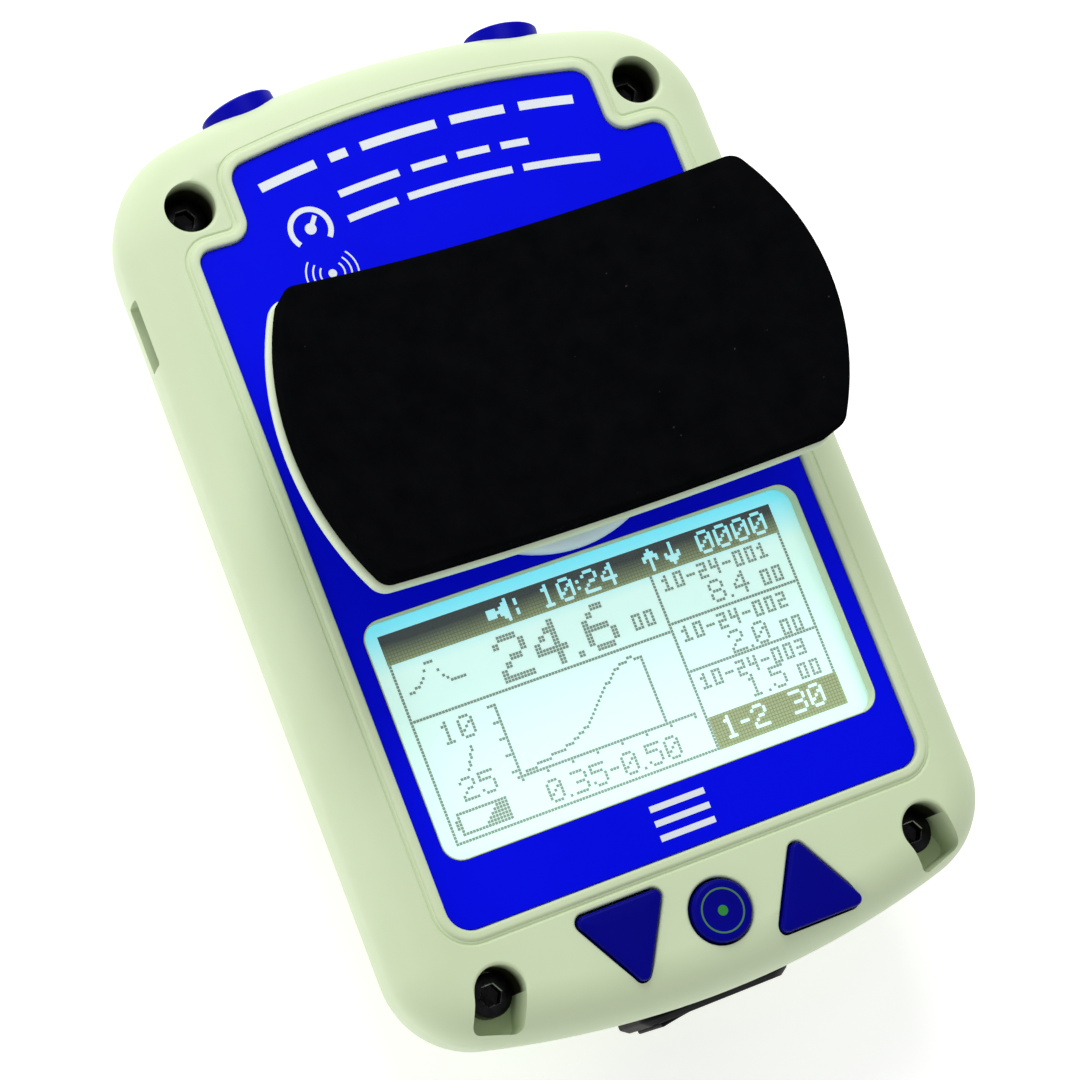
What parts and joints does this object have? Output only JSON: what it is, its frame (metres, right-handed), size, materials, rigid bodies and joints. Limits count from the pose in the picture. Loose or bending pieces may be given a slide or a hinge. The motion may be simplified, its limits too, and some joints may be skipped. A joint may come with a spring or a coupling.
{
  "type": "hand dynamometer",
  "caption": "Palm-held muscle force tester with a display, push keys, trigger buttons and a swivelling padded stirrup that presses on a limb.",
  "frame": {"origin": "centre of the flat back, which the tester lies on", "axes": "+Z out of the face through the stirrup, +Y towards the end with the trigger buttons, +X to the right seen from the front"},
  "size_m": [0.0816, 0.1294, 0.0602],
  "materials": {
    "case_plastic": "fine satin texture",
    "label_blue": "smooth printed film",
    "button_blue": "satin",
    "foam": "closed-cell foam",
    "black_plastic": "satin",
    "inner_plastic": "moulded",
    "rubber": "soft",
    "lcd": "backlit display",
    "clear_window": "clear",
    "backlight": "translucent white",
    "black_steel": "black oxide",
    "steel": "machined",
    "aluminium": "milled",
    "brass": "tinned blade",
    "board_green": "solder resist",
    "chip": "moulded",
    "cell_sleeve": "shrink sleeve"
  },
  "bodies": {
    "housing": {"front_housing": "case_plastic", "rear_housing": "case_plastic", "battery_door": "case_plastic", "load_collar": "case_plastic", "label_overlay": "label_blue", "power_switch_body": "black_plastic", "battery_tray": "inner_plastic", "down_switch": "inner_plastic", "select_switch": "inner_plastic", "up_switch": "inner_plastic", "left_trigger_switch": "inner_plastic", "right_trigger_switch": "inner_plastic", "case_gasket": "rubber", "post_seal": "rubber", "battery_lead": "rubber", "load_cell_lead": "rubber", "lcd_glass": "lcd", "display_window": "clear_window", "lcd_backlight": "backlight", "case_screw_1": "black_steel", "case_screw_2": "black_steel", "case_screw_3": "black_steel", "case_screw_4": "black_steel", "battery_door_screw": "black_steel", "cell_screw_1": "black_steel", "cell_screw_2": "black_steel", "cell_screw_3": "black_steel", "cell_screw_4": "black_steel", "board_screw_1": "black_steel", "board_screw_2": "black_steel", "board_screw_3": "black_steel", "board_screw_4": "black_steel", "load_cell": "steel", "load_post": "steel", "detent_ring": "steel", "lcd_frame": "steel", "wireless_module": "steel", "usb_port": "steel", "load_cell_plate": "aluminium", "power_terminal_1": "brass", "power_terminal_2": "brass", "main_board": "board_green", "trigger_board": "board_green", "processor_chip": "chip", "buzzer": "chip", "battery_cell_1": "cell_sleeve", "battery_cell_2": "cell_sleeve"},
    "down_key": {"down_button": "button_blue", "down_plunger": "inner_plastic"},
    "select_key": {"select_button": "button_blue", "select_plunger": "inner_plastic"},
    "up_key": {"up_button": "button_blue", "up_plunger": "inner_plastic"},
    "left_trigger": {"left_trigger_button": "button_blue", "left_trigger_plunger": "inner_plastic"},
    "right_trigger": {"right_trigger_button": "button_blue", "right_trigger_plunger": "inner_plastic"},
    "rocker": {"power_rocker": "black_plastic"},
    "stirrup": {"stirrup_plate": "case_plastic", "foam_pad": "foam"}
  },
  "joints": [
    {"name": "down_key_press", "type": "slide", "parent": "housing", "child": "down_key", "axis": [0, 0, -1], "range_m": [0, 0.0008], "stiffness_N_per_m": 3000, "springref_m": -0.0002},
    {"name": "select_key_press", "type": "slide", "parent": "housing", "child": "select_key", "axis": [0, 0, -1], "range_m": [0, 0.0008], "stiffness_N_per_m": 3000, "springref_m": -0.0002},
    {"name": "up_key_press", "type": "slide", "parent": "housing", "child": "up_key", "axis": [0, 0, -1], "range_m": [0, 0.0008], "stiffness_N_per_m": 3000, "springref_m": -0.0002},
    {"name": "left_trigger_press", "type": "slide", "parent": "housing", "child": "left_trigger", "axis": [0.1465, -0.9892, 0], "range_m": [0, 0.0012], "stiffness_N_per_m": 2500, "springref_m": -0.0002},
    {"name": "right_trigger_press", "type": "slide", "parent": "housing", "child": "right_trigger", "axis": [-0.1465, -0.9892, 0], "range_m": [0, 0.0012], "stiffness_N_per_m": 2500, "springref_m": -0.0002},
    {"name": "power_rocker_tilt", "type": "hinge", "parent": "housing", "child": "rocker", "pos_m": [0, -0.0615, 0.0175], "axis": [0, 0, 1], "range_deg": [-6, 0]},
    {"name": "stirrup_swivel", "type": "hinge", "parent": "housing", "child": "stirrup", "pos_m": [0, 0.013, 0.0445], "axis": [0, 0, 1], "continuous": true}
  ]
}
